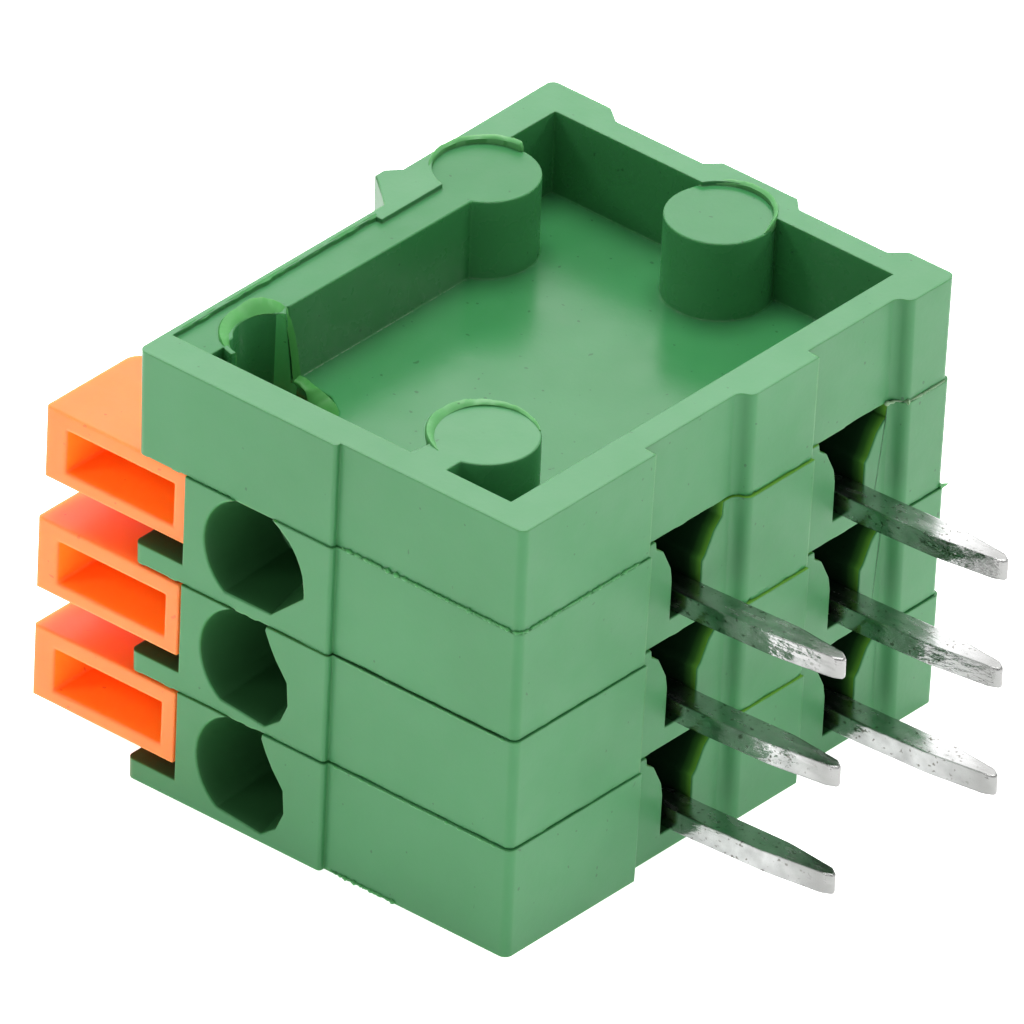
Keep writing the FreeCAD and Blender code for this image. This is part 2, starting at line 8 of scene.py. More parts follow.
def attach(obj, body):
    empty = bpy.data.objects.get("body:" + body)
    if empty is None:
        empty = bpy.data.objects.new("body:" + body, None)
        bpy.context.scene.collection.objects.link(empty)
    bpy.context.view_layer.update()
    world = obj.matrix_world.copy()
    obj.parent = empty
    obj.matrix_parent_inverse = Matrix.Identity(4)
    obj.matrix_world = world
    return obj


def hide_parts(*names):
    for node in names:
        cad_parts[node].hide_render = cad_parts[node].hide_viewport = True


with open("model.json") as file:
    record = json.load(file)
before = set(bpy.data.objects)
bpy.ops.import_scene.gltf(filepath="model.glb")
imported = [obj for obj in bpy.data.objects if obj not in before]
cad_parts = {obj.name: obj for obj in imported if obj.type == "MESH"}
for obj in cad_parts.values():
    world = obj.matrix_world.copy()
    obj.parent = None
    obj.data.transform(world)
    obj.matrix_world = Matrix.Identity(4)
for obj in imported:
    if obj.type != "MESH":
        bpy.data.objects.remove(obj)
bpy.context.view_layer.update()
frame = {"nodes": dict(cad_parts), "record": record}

# Positions below are drawing millimetres, and place() turns them into the row frame's metres.
MM = 0.001
SHIFT = (-5.5, -6.5)          # the drawing's origin in the row frame
POLES = (1, 2, 3)
PITCH = 2.54                  # height of one slice
PLATE = 3 * PITCH             # foot of the end plate
TRAY_FLOOR = 8.135            # just above the floor of the end plate's tray
SLEEVE = (1.52, 2.2)          # centre of the broken fourth sleeve
BORE = 0.838                  # its inner radius
BOARD_FACE = 9.90             # x of the face that the solder pins leave
PIN_TIP = 13.4

WELD = 2e-7                   # metres; vertices nearer than this are joined
SPECK = 1e-7                  # metres; edges shorter than this are dissolved
SEAM = 0.034 * MM             # width of the chamfer in the gap between two slices


def place(x, y, z):
    """Drawing millimetres to the row frame in metres."""
    return Vector(((x + SHIFT[0]) * MM, (y + SHIFT[1]) * MM, z * MM))


def drawing(point):
    """Row metres back to drawing millimetres."""
    return point.x / MM - SHIFT[0], point.y / MM - SHIFT[1], point.z / MM


# ---------------------------------------------------------------- materials

def new_material(name):
    mat = bpy.data.materials.new(name)
    mat.use_nodes = True
    tree = mat.node_tree
    tree.nodes.clear()
    out = tree.nodes.new("ShaderNodeOutputMaterial")
    shader = tree.nodes.new("ShaderNodeBsdfPrincipled")
    tree.links.new(shader.outputs[0], out.inputs[0])
    return mat, tree, shader


def feed(tree, value, socket):
    """Link an output to the socket, or set the socket's own number or colour."""
    if hasattr(value, "is_output"):
        tree.links.new(value, socket)
    elif isinstance(value, tuple):
        socket.default_value = (*value, 1.0)
    else:
        socket.default_value = value


def coords(tree):
    return tree.nodes.new("ShaderNodeTexCoord").outputs["Object"]


def noise_tex(tree, where, scale, detail):
    """Noise with its scale in features per metre."""
    tex = tree.nodes.new("ShaderNodeTexNoise")
    tex.inputs["Scale"].default_value = scale
    tex.inputs["Detail"].default_value = detail
    tex.inputs["Roughness"].default_value = 0.5
    tree.links.new(where, tex.inputs["Vector"])
    return tex.outputs["Fac"]


def ramp(tree, value, stops):
    node = tree.nodes.new("ShaderNodeValToRGB")
    elements = node.color_ramp.elements
    while len(elements) > len(stops):
        elements.remove(elements[-1])
    while len(elements) < len(stops):
        elements.new(1.0)
    for element, (at, colour) in zip(elements, stops):
        element.position = at
        element.color = (*colour, 1.0)
    tree.links.new(value, node.inputs["Fac"])
    return node.outputs["Color"]


def grey_ramp(tree, value, *stops):
    return ramp(tree, value, [(at, (shade,) * 3) for at, shade in stops])


def mix(tree, fac, a, b):
    node = tree.nodes.new("ShaderNodeMix")
    node.data_type = "RGBA"
    for value, name, kind in ((fac, "Factor", "VALUE"), (a, "A", "RGBA"), (b, "B", "RGBA")):
        feed(tree, value, next(s for s in node.inputs if s.name == name and s.type == kind))
    return next(s for s in node.outputs if s.type == "RGBA")


def bump(tree, height, strength, distance, normal=None):
    node = tree.nodes.new("ShaderNodeBump")
    feed(tree, strength, node.inputs["Strength"])
    node.inputs["Distance"].default_value = distance
    tree.links.new(height, node.inputs["Height"])
    if normal is not None:
        tree.links.new(normal, node.inputs["Normal"])
    return node.outputs["Normal"]


def math_node(tree, kind, a, b):
    node = tree.nodes.new("ShaderNodeMath")
    node.operation = kind
    feed(tree, a, node.inputs[0])
    feed(tree, b, node.inputs[1])
    return node.outputs[0]


def soft_edges(tree, radius):
    """Normals rounded at the edges, and a mask: 0 on flat areas, up to 1 on edges of that radius."""
    bev = tree.nodes.new("ShaderNodeBevel")
    bev.samples = 3
    bev.inputs["Radius"].default_value = radius
    geo = tree.nodes.new("ShaderNodeNewGeometry")
    dot = tree.nodes.new("ShaderNodeVectorMath")
    dot.operation = "DOT_PRODUCT"
    tree.links.new(bev.outputs["Normal"], dot.inputs[0])
    tree.links.new(geo.outputs["Normal"], dot.inputs[1])
    return bev.outputs["Normal"], math_node(tree, "SUBTRACT", 1.0, dot.outputs["Value"])


def depth_mask(tree, where, axis, start, reach):
    """0 at a plane across an axis of the row frame, 1 at the given reach behind it."""
    parts = tree.nodes.new("ShaderNodeSeparateXYZ")
    tree.links.new(where, parts.inputs[0])
    node = tree.nodes.new("ShaderNodeMapRange")
    tree.links.new(parts.outputs[axis], node.inputs["Value"])
    node.inputs["From Min"].default_value = start
    node.inputs["From Max"].default_value = start + reach
    return node.outputs["Result"]


def through_light(shader, weight, radius, scale):
    """Light that goes through the plastic."""
    shader.inputs["Subsurface Weight"].default_value = weight
    shader.inputs["Subsurface Radius"].default_value = radius
    shader.inputs["Subsurface Scale"].default_value = scale


def green_plastic(name, colours, gloss=(0.36, 0.46), specular=0.32, depth=None, painted_shading=(),
                  edge_highlight=(0.060, 0.26, 0.068)):
    """Moulded plastic. Colours are base, light and dark; the depth arguments paint shade into a cavity, darker
    from its mouth inwards;
    the edge colour is a painted highlight on its edges, or None on pieces too thin for rounded normals."""
    mat, tree, shader = new_material(name)
    where = coords(tree)
    base, light, dark = colours
    cloud = noise_tex(tree, where, 260, 3)
    grain = noise_tex(tree, where, 9000, 2)
    colour = ramp(tree, cloud, [(0.3, dark), (0.52, base), (0.75, light)])
    specks = grey_ramp(tree, noise_tex(tree, where, 7800, 0), (0.83, 0.0), (0.86, 0.6))
    colour = mix(tree, specks, colour, (0.012, 0.06, 0.02))
    rounded, edges = soft_edges(tree, 0.00006) if edge_highlight else (None, None)
    # painted highlight: outside cavities, the edges are mixed to a lighter green
    if edge_highlight and depth is None:
        colour = mix(tree, grey_ramp(tree, edges, (0.02, 0.0), (0.22, 0.7)), colour, edge_highlight)
    # painted shade: in a cavity the colour darkens from its mouth inwards
    if depth is not None:
        far = depth_mask(tree, where, *depth)
        colour = mix(tree, 0.92, colour, ramp(tree, far, painted_shading))
    tree.links.new(colour, shader.inputs["Base Color"])
    rough = grey_ramp(tree, noise_tex(tree, where, 1400, 3), (0.3, gloss[0]), (0.7, gloss[1]))
    tree.links.new(rough, shader.inputs["Roughness"])
    shader.inputs["Specular IOR Level"].default_value = specular
    if depth is None:
        through_light(shader, 0.12, (0.5, 1.0, 0.25), 0.0004)
    normal = bump(tree, grain, 0.10, 0.00002, rounded)
    normal = bump(tree, noise_tex(tree, where, 700, 2), 0.10, 0.0001, normal)
    tree.links.new(normal, shader.inputs["Normal"])
    return mat


def orange_plastic(name, low, high):
    mat, tree, shader = new_material(name)
    where = coords(tree)
    colour = ramp(tree, noise_tex(tree, where, 420, 3), [(0.3, low), (0.7, high)])
    specks = grey_ramp(tree, noise_tex(tree, where, 7000, 0), (0.84, 0.0), (0.87, 0.6))
    colour = mix(tree, specks, colour, (0.60, 0.06, 0.012))
    rounded, edges = soft_edges(tree, 0.00009)
    # painted highlight: the edges are mixed to a lighter, pinker orange
    colour = mix(tree, grey_ramp(tree, edges, (0.02, 0.0), (0.25, 0.6)), colour, (0.95, 0.30, 0.11))
    tree.links.new(colour, shader.inputs["Base Color"])
    rough = grey_ramp(tree, noise_tex(tree, where, 1500, 3), (0.3, 0.34), (0.7, 0.44))
    tree.links.new(rough, shader.inputs["Roughness"])
    shader.inputs["Specular IOR Level"].default_value = 0.32
    through_light(shader, 0.45, (1.0, 0.35, 0.12), 0.0014)
    normal = bump(tree, noise_tex(tree, where, 8000, 2), 0.10, 0.00002, rounded)
    tree.links.new(normal, shader.inputs["Normal"])
    return mat


def tinned(name, shades, gloss, strength, scale, even):
    """Tin plating, streaked along the pins; the ripple grows from its even share to full strength, and the colour
    darkens as painted shade, towards the tips, so that their reflections look grey."""
    mat, tree, shader = new_material(name)
    where = coords(tree)
    stretch = tree.nodes.new("ShaderNodeMapping")
    stretch.inputs["Scale"].default_value = (0.35, 1.0, 1.0)
    tree.links.new(where, stretch.inputs["Vector"])
    streaks = stretch.outputs["Vector"]
    patch = noise_tex(tree, where, 2300, 3)
    colour = grey_ramp(tree, patch, (0.3, shades[0]), (0.65, shades[1]))
    pits = grey_ramp(tree, noise_tex(tree, where, 9500, 1), (0.64, 0.0), (0.71, 0.75))
    colour = mix(tree, pits, colour, (0.09, 0.08, 0.065))
    rounded = soft_edges(tree, 0.00005)[0]
    # painted shade: the colour darkens towards the tips
    colour = mix(tree, depth_mask(tree, where, 0, 0.0065, 0.0012), colour, (0.24, 0.24, 0.235))
    tree.links.new(colour, shader.inputs["Base Color"])
    shader.inputs["Metallic"].default_value = 1.0
    rough = grey_ramp(tree, noise_tex(tree, streaks, 5200, 3), (0.3, gloss[0]), (0.7, gloss[1]))
    tree.links.new(rough, shader.inputs["Roughness"])
    tip = depth_mask(tree, where, 0, 0.0054, 0.0016)
    ripple = math_node(tree, "ADD", math_node(tree, "MULTIPLY", tip, strength), strength * even)
    normal = bump(tree, noise_tex(tree, streaks, scale, 3), ripple, 0.00006, rounded)
    tree.links.new(normal, shader.inputs["Normal"])
    return mat


def steel_strip(name):
    mat, tree, shader = new_material(name)
    where = coords(tree)
    colour = ramp(tree, noise_tex(tree, where, 1800, 3),
                  [(0.3, (0.42, 0.42, 0.43)), (0.7, (0.58, 0.58, 0.58))])
    tree.links.new(colour, shader.inputs["Base Color"])
    shader.inputs["Metallic"].default_value = 1.0
    shader.inputs["Roughness"].default_value = 0.32
    tree.links.new(bump(tree, noise_tex(tree, where, 7000, 3), 0.15, 0.00003), shader.inputs["Normal"])
    return mat


MOULDED = ((0.032, 0.168, 0.055), (0.035, 0.178, 0.060), (0.029, 0.158, 0.050))
green = green_plastic("green_moulding", MOULDED)
# painted light: the rim tops get a lighter copy of the moulding, with a strong painted highlight on their edges
green_rim_painted_light = green_plastic("green_rim_painted_light", ((0.037, 0.188, 0.063), (0.040, 0.198, 0.068), (0.034, 0.179, 0.058)),
                          gloss=(0.34, 0.42), specular=0.5, edge_highlight=(0.14, 0.38, 0.17))
# painted light: the tray's inner walls get a lighter copy of the moulding, standing in for light that reaches them
tray_walls_painted_light = green_plastic("green_tray_wall_painted_light",
                           ((0.041, 0.205, 0.066), (0.045, 0.215, 0.071), (0.037, 0.195, 0.061)),
                           gloss=(0.24, 0.32), specular=0.27)
green_smooth = green_plastic("green_smooth", MOULDED, gloss=(0.19, 0.27), specular=0.27)
# painted light: a light green standing for light shining through the sleeve's thin wall
bore_painted_light = green_plastic("green_sleeve_painted_light", ((0.105, 0.46, 0.15), (0.115, 0.49, 0.16), (0.095, 0.43, 0.14)),
                          gloss=(0.50, 0.60), specular=0.15)
# painted light and shade: a light yellow-green at the pin cavity's mouth, darkening to near black inwards
green_cavity = green_plastic("green_cavity", MOULDED, gloss=(0.40, 0.50), specular=0.12,
                             depth=(0, 0.00412, -0.0006),
                             painted_shading=[(0.0, (0.17, 0.42, 0.05)), (0.12, (0.09, 0.26, 0.025)),
                                   (0.34, (0.026, 0.10, 0.012)), (0.62, (0.004, 0.014, 0.003)),
                                   (0.85, (0.001, 0.003, 0.001))])
# painted shade: the wire funnel's walls darken inwards from the mouth
green_funnel = green_plastic("green_funnel", MOULDED, gloss=(0.40, 0.50), specular=0.12,
                             depth=(1, -0.00664, 0.0002),
                             painted_shading=[(0.0, (0.05, 0.18, 0.045)), (0.2, (0.020, 0.085, 0.024)),
                                   (0.5, (0.014, 0.062, 0.018)), (1.0, (0.013, 0.058, 0.016))])
green_torn = green_plastic("green_torn_edge", ((0.054, 0.235, 0.056), (0.062, 0.26, 0.062), (0.047, 0.215, 0.050)),
                           gloss=(0.48, 0.60), specular=0.25, edge_highlight=None)
green_flash = green_plastic("green_flash", ((0.045, 0.215, 0.062), (0.052, 0.235, 0.068), (0.040, 0.20, 0.056)),
                            specular=0.3, edge_highlight=None)
green_thin = green_plastic("green_thin_wall", ((0.036, 0.19, 0.036), (0.042, 0.21, 0.041), (0.031, 0.17, 0.031)),
                           gloss=(0.50, 0.60), specular=0.2, edge_highlight=None)
light_flash = green_plastic("light_flash", ((0.085, 0.28, 0.095), (0.10, 0.31, 0.11), (0.07, 0.25, 0.08)),
                            specular=0.3, edge_highlight=None)
pale_flash = green_plastic("pale_flash", ((0.16, 0.27, 0.15), (0.20, 0.31, 0.18), (0.10, 0.22, 0.10)),
                           specular=0.3, edge_highlight=None)
orange = orange_plastic("orange_moulding", (0.94, 0.165, 0.022), (0.98, 0.185, 0.028))
# painted light: the screwdriver recess gets its own yellower copy of the orange, for the way light falls inside it
orange_in_recess_painted_light = orange_plastic("orange_recess_painted_light", (0.94, 0.23, 0.016), (0.98, 0.25, 0.020))
tin = tinned("tinned_sheet", (0.38, 0.50), (0.15, 0.30), 0.12, 5200, 0.40)
tin_cut = tinned("tinned_cut_edge", (0.34, 0.50), (0.10, 0.24), 0.45, 6500, 0.45)
steel = steel_strip("spring_strip")


# ---------------------------------------------------------------- which edges and faces

def mid(edge):
    return drawing((edge.verts[0].co + edge.verts[1].co) / 2)


def long_edge(edge):
    """With room on both ends for a rounding."""
    return all(other.calc_length() > 0.1 * MM for vert in edge.verts for other in vert.link_edges)


def sharp_edges(bm):
    return [e for e in bm.edges if len(e.link_faces) == 2 and e.calc_face_angle(0) > math.radians(28)]


def outer(x, y):
    """On the front and right outline of a slice."""
    front = y < 0.03 and 1.2 < x < 9.95
    right = x > 9.4 and y < 13.0
    return front or right


def seam_slice(x, y):
    """Where the gap between two slices is open: all of the outline but the wire funnel's mouth."""
    return outer(x, y) and (x < 2.7 or x > 3.3)


def seam_plate(x, y):
    """Where the gap under the end plate is open: by the buttons, at the middle pad and at the far one."""
    return (y < 0.03 and 1.2 < x < 2.5) or (x > 9.4 and (3.7 < y < 8.95 or y > 10.3))


def room_to_round(edge):
    """Long enough, and not in the part of the end plate's seam that is pressed tight."""
    x, y, z = mid(edge)
    tight = abs(z - PLATE) < 0.02 and outer(x, y) and not seam_plate(x, y)
    return long_edge(edge) and not tight


def plate_side(face):
    """The tray is smoother than the outside; its walls and the rim get lighter colours as painted light, and part
    of the sleeve's bore a light green as painted light shining through it.
    """
    x, y, z = drawing(face.calc_center_median())
    arm_x, arm_y = x - SLEEVE[0], y - SLEEVE[1]
    in_bore = math.hypot(arm_x, arm_y) < 0.86 and z > 7.9
    if in_bore and 95 < math.degrees(math.atan2(arm_y, arm_x)) < 132:
        return 3
    if 0.14 < x < 9.0 and 0.67 < y < 12.34 and PLATE + 0.28 < z < PLATE + 2.32:
        return 4 if abs(face.normal.z) < 0.5 else 1
    on_third_boss = 5.7 < x < 8.3 and 0.9 < y < 3.5
    if face.normal.z > 0.9 and z > 10.02 and not on_third_boss:
        return 2
    return 0


def slice_side(face):
    """Walls of the pin cavities and of the wire funnels get painted shade that darkens them with depth."""
    x, y, z = drawing(face.calc_center_median())
    if 5.2 < x < 9.56 and abs(face.normal.x) < 0.9 and 4.3 < y < 11.7:
        return 1
    if 1.6 < x < 4.6 and -0.1 < y < 3.6 and face.normal.y > -0.9:
        return 2
    return 0


def button_side(source):
    """The screwdriver recess of a button, seen from the box round the whole button."""
    points = [drawing(v.co) for v in source.data.vertices]
    low, high = ([side(p[k] for p in points) for k in range(3)] for side in (min, max))

    def pick(face):
        where = drawing(face.calc_center_median())
        inside = all(low[k] + 0.2 < where[k] < high[k] - 0.2 for k in (0, 2))
        return 1 if inside and low[1] + 0.1 < where[1] < low[1] + 3.0 else 0
    return pick


def button_head(number):
    """Edges of the button's head. The strip beside its stem is too narrow to round, the stem hidden."""
    back = 2.65 if number < 3 else 2.80
    return lambda edge: long_edge(edge) and mid(edge)[1] < back - 0.02


def pin_side(face):
    """Side faces of a pin outside the housing show the torn edge of the stamping."""
    outside = face.calc_center_median().x > 3.9 * MM
    return 1 if outside and abs(face.normal.z) < 0.5 else 0


# ---------------------------------------------------------------- changes of form

def round_off(bm, edges, offset, segments, profile=0.5, clamp=False):
    """Round the edges; bmesh gets no empty list."""
    if edges:
        bmesh.ops.bevel(bm, geom=edges, offset=offset, offset_type="OFFSET", segments=segments,
                        profile=profile, affect="EDGES", clamp_overlap=clamp)


def open_seam(bm, low, wanted, seed):
    """Wavy chamfer along the lower outer edge: the dark gap that shows between two slices."""
    def chosen(shortest):
        return [e for e in sharp_edges(bm) if all(abs(v.co.z - low) < 1e-6 for v in e.verts)
                and e.calc_length() > shortest and outer(*mid(e)[:2])]
    for edge in chosen(0.3 * MM):
        cuts = int(edge.calc_length() / (0.12 * MM))
        bmesh.ops.subdivide_edges(bm, edges=[edge], cuts=cuts)
    made = bmesh.ops.bevel(bm, geom=[e for e in chosen(0) if wanted(*mid(e)[:2])], offset=SEAM,
                           offset_type="OFFSET", segments=1, affect="EDGES", clamp_overlap=False)
    for vert in {v for f in made["faces"] for v in f.verts}:
        if vert.co.z - low > 0.3 * SEAM:
            x, y, _ = drawing(vert.co)
            slow = noise.noise(Vector((x * 0.9, y * 0.9, seed)))
            quick = noise.noise(Vector((x * 3.9, y * 3.9, seed + 7)))
            wide = 2.6 if 6.9 < y < 9.0 else 0.9      # widest at the middle pad
            vert.co.z = low + max(0.2, wide * (1 + 1.2 * (slow + 0.8 * quick))) * SEAM


def soften_uprights(bm):
    """The step of the front and the far sides of the two grooves in the board face are broadly rounded."""
    def near(edge, x_at, y_at):
        x, y, _ = mid(edge)
        return abs(x - x_at) < 0.06 and abs(y - y_at) < 0.06
    upright = [e for e in sharp_edges(bm) if abs(e.verts[0].co.z - e.verts[1].co.z) > 1.0 * MM]
    step = [e for e in upright if near(e, 5.12, -0.16)]
    grooves = [e for e in upright if near(e, BOARD_FACE, 7.0) or near(e, BOARD_FACE, 11.86)]
    round_off(bm, step, 0.08 * MM, 4)
    round_off(bm, grooves, 0.12 * MM, 4)


def shape_sleeve(bm):
    """The standing part of the broken sleeve ends in a slanted tear, a low stump and a thin front end."""
    centre = place(*SLEEVE, 0)
    for vert in bm.verts:
        arm = vert.co - centre
        reach = math.hypot(arm.x, arm.y)
        turn = math.degrees(math.atan2(arm.y, arm.x)) % 360
        z = vert.co.z / MM
        if not 0.8 * MM < reach < 1.17 * MM or z < 8.3:
            continue
        if 103 < turn < 117 and z > 9.9:
            turn = 117
        elif 74 < turn < 107 and z < 8.7:
            z = 8.28 + 0.12 * (turn - 74) / 33
        elif 228 < turn < 264 and z > 9.9 and reach < 0.9 * MM:
            reach = (0.84 + 0.17 * min(1, (turn - 228) / 12)) * MM
        else:
            continue
        angle = math.radians(turn)
        vert.co = Vector((centre.x + reach * math.cos(angle), centre.y + reach * math.sin(angle), z * MM))
    bmesh.ops.remove_doubles(bm, verts=bm.verts, dist=WELD)


def shape_plate(bm):
    soften_uprights(bm)
    open_seam(bm, PLATE * MM, seam_plate, 3.0)
    shape_sleeve(bm)


def shape_slice(number):
    """The lowest slice has no gap below it."""
    def shape(bm):
        soften_uprights(bm)
        if number > 1:
            open_seam(bm, (number - 1) * PITCH * MM, seam_slice, number)
    return shape


def round_tips(bm):
    """Pins end in a small blunt nose."""
    noses = [e for e in sharp_edges(bm) if min(v.co.x for v in e.verts) > 7.8 * MM
             and abs(mid(e)[0] - PIN_TIP) < 0.2]
    round_off(bm, noses, 0.14 * MM, 3, clamp=True)


# ---------------------------------------------------------------- dressed copies of the CAD nodes

def body_of_node(name):
    for body, members in frame["record"]["behaviour"]["bodies"].items():
        if name in members:
            return body
    raise RuntimeError(name)


def finish_normals(bm, sharp):
    """Faces look outwards and shade smoothly up to edges sharper than the given degrees."""
    bmesh.ops.recalc_face_normals(bm, faces=bm.faces)
    for face in bm.faces:
        face.smooth = True
    for edge in bm.edges:
        edge.smooth = len(edge.link_faces) == 2 and edge.calc_face_angle(0) < math.radians(sharp)


def dressed(name, bevel, segments, materials, pick, shape=None, soft=room_to_round):
    """A copy of a CAD node's mesh with joined vertices, plain flat faces and softly rounded edges."""
    source = frame["nodes"][name]
    bm = bmesh.new()
    bm.from_mesh(source.data)
    bmesh.ops.remove_doubles(bm, verts=bm.verts, dist=WELD)
    bmesh.ops.dissolve_limit(bm, angle_limit=math.radians(0.6), verts=bm.verts, edges=bm.edges)
    if shape:
        shape(bm)
    round_off(bm, [e for e in sharp_edges(bm) if soft(e)], bevel, segments, profile=0.6)
    bmesh.ops.dissolve_degenerate(bm, dist=SPECK, edges=bm.edges)
    finish_normals(bm, 34)
    for face in bm.faces:
        face.material_index = pick(face)
    clean = bpy.data.meshes.new(name + "_look")
    bm.to_mesh(clean)
    bm.free()
    for mat in materials:
        clean.materials.append(mat)
    piece = bpy.data.objects.new(name + "_look", clean)
    bpy.context.scene.collection.objects.link(piece)
    weigh = piece.modifiers.new("even_faces", "WEIGHTED_NORMAL")
    weigh.keep_sharp = True
    weigh.weight = 80
    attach(piece, body_of_node(name))
    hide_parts(name)


dressed("end_plate", 0.04 * MM, 2, [green, green_smooth, green_rim_painted_light, bore_painted_light, tray_walls_painted_light],
        plate_side, shape_plate)
for number in POLES:
    dressed("pole_housing_%d" % number, 0.035 * MM, 2, [green, green_cavity, green_funnel],
            slice_side, shape_slice(number))
for number in POLES:
    button = "push_button_%d" % number
    dressed(button, 0.06 * MM, 3, [orange, orange_in_recess_painted_light],
            button_side(frame["nodes"][button]), soft=button_head(number))
for number in POLES:
    dressed("contact_frame_%d" % number, 0.03 * MM, 2, [tin, tin_cut],
            pin_side, round_tips, long_edge)
    strip = frame["nodes"]["clamp_spring_%d" % number].data.materials
    strip.clear()
    strip.append(steel)


# ---------------------------------------------------------------- torn and flashed edges of the mouldings

def add_piece(name, verts, faces, material, sharp=40):
    mesh = bpy.data.meshes.new(name)
    mesh.from_pydata(verts, [], faces)
    bm = bmesh.new()
    bm.from_mesh(mesh)
    finish_normals(bm, sharp)
    bm.to_mesh(mesh)
    bm.free()
    mesh.materials.append(material)
    piece = bpy.data.objects.new(name, mesh)
    bpy.context.scene.collection.objects.link(piece)
    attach(piece, "housing")


def loft_rings(rings):
    """Closed bar through rings of equal point counts."""
    verts = [p for ring in rings for p in ring]
    n = len(rings[0])
    faces = []
    for k in range(len(rings) - 1):
        for j in range(n):
            a, b = k * n + j, k * n + (j + 1) % n
            faces.append((a, b, b + n, a + n))
    faces.append(tuple(range(n - 1, -1, -1)))
    faces.append(tuple(range((len(rings) - 1) * n, len(rings) * n)))
    return verts, faces


def along(stations, step):
    """Linear in-between stations; the first number of each station is the way along."""
    out = []
    for a, b in zip(stations, stations[1:]):
        count = max(1, int(round(abs(b[0] - a[0]) / step)))
        for k in range(count):
            t = k / count
            out.append(tuple(u + (v - u) * t for u, v in zip(a, b)))
    out.append(stations[-1])
    return out


def lip(name, centre, seed, rough, material, stations):
    """Torn wall round a centre. A station is azimuth, foot, inner radius and height, outer radius and height."""
    rings = []
    for az, low, r_in, z_in, r_out, z_out in along(stations, 2.0):
        c, s = math.cos(math.radians(az)), math.sin(math.radians(az))
        slow = 1.5 * rough * noise.noise(Vector((az * 0.07, seed, 0.3)))
        quick = 0.7 * rough * noise.noise(Vector((az * 0.35, seed, 3.1)))
        wall = r_out - r_in
        profile = [(r_in + 0.2 * wall, low), (r_out, low),
                   (r_out + quick, z_out + slow - 0.2 * wall),
                   (r_out - 0.15 * wall, z_out + slow + quick),
                   (r_out - 0.6 * wall, (z_in + 2 * z_out) / 3 + slow),
                   (r_in + 0.1 * wall, z_in + 0.5 * slow), (r_in, z_in - 0.1 * wall)]
        rings.append([place(centre[0] + r * c, centre[1] + r * s, z) for r, z in profile])
    add_piece(name, *loft_rings(rings), material, 50)


def burr(name, size, seed, material, path):
    """Thin uneven thread of plastic along a path of drawing points."""
    stations = [(0.0, *path[0])]
    for near, far in zip(path, path[1:]):
        stations.append((stations[-1][0] + (Vector(far) - Vector(near)).length, *far))
    points = along(stations, 0.02)
    rings = []
    for k, (t, x, y, z) in enumerate(points):
        ahead = Vector(points[min(k + 4, len(points) - 1)][1:]) - Vector(points[max(k - 4, 0)][1:])
        ahead.normalize()
        side = ahead.cross(Vector((0, 0, 1))).normalized()
        up = side.cross(ahead)
        slow = 1.3 * noise.noise(Vector((t * 9.0, seed, 0)))
        quick = 0.5 * noise.noise(Vector((t * 31.0, seed, 4)))
        girth = size * max(0.12, 0.75 + slow + quick)
        ring = []
        for angle in (math.radians(60 * j) for j in range(6)):
            point = Vector((x, y, z)) + side * girth * math.cos(angle) + up * girth * math.sin(angle)
            ring.append(place(*point))
        rings.append(ring)
    add_piece(name, *loft_rings(rings), material, 60)


# the standing part of the broken sleeve, the tear down its side and its low stump
lip("end_plate_sleeve_rim", SLEEVE, 11, 0.022, green_torn,
    [(258, 9.7, 1.01, 9.86, 1.12, 9.90), (248, 9.7, 0.99, 9.90, 1.12, 9.94), (238, 9.7, 0.95, 9.92, 1.13, 9.96),
     (226, 9.7, 0.87, 9.93, 1.15, 9.98), (212, 9.7, BORE, 9.94, 1.17, 9.99), (198, 9.7, BORE, 9.94, 1.18, 10.01),
     (180, 9.7, BORE, 9.95, 1.18, 10.04), (165, 9.7, BORE, 9.96, 1.18, 10.12), (155, 9.7, BORE, 9.97, 1.17, 10.18),
     (145, 9.7, BORE, 9.97, 1.16, 10.17), (135, 9.7, BORE, 9.96, 1.15, 10.10), (125, 9.6, BORE, 9.94, 1.15, 10.02),
     (118, 9.5, BORE, 9.86, 1.15, 9.90), (113, 9.0, 0.88, 9.36, 1.11, 9.38)])
lip("end_plate_sleeve_tear", SLEEVE, 14, 0.03, green_thin,
    [(119, 9.7, BORE, 9.84, 1.15, 9.87), (114, 9.5, BORE, 9.62, 1.15, 9.66), (110, 9.1, BORE, 9.28, 1.145, 9.36),
     (106, 8.65, BORE, 8.90, 1.14, 9.02), (104, 8.45, BORE, 8.62, 1.14, 8.72), (102, 8.3, BORE, 8.42, 1.14, 8.44)])
lip("end_plate_sleeve_stump", SLEEVE, 12, 0.02, green_thin,
    [(106, 7.66, 0.836, 8.47, 1.14, 8.48), (102, 7.66, 0.836, 8.43, 1.145, 8.42),
     (95, 7.66, 0.836, 8.41, 1.15, 8.40), (86, 7.66, 0.836, 8.38, 1.16, 8.36), (80, 7.66, 0.836, 8.34, 1.19, 8.31),
     (74, 7.66, 0.84, 8.16, 1.27, 8.22), (67, 7.66, 0.85, 7.98, 1.34, 8.16), (58, 7.66, 0.86, 7.86, 1.37, 8.14),
     (50, 7.66, 0.88, 7.80, 1.39, 8.135), (38, 7.66, 0.92, 7.78, 1.41, 8.135), (22, 7.66, 1.00, 7.80, 1.37, 8.13)])

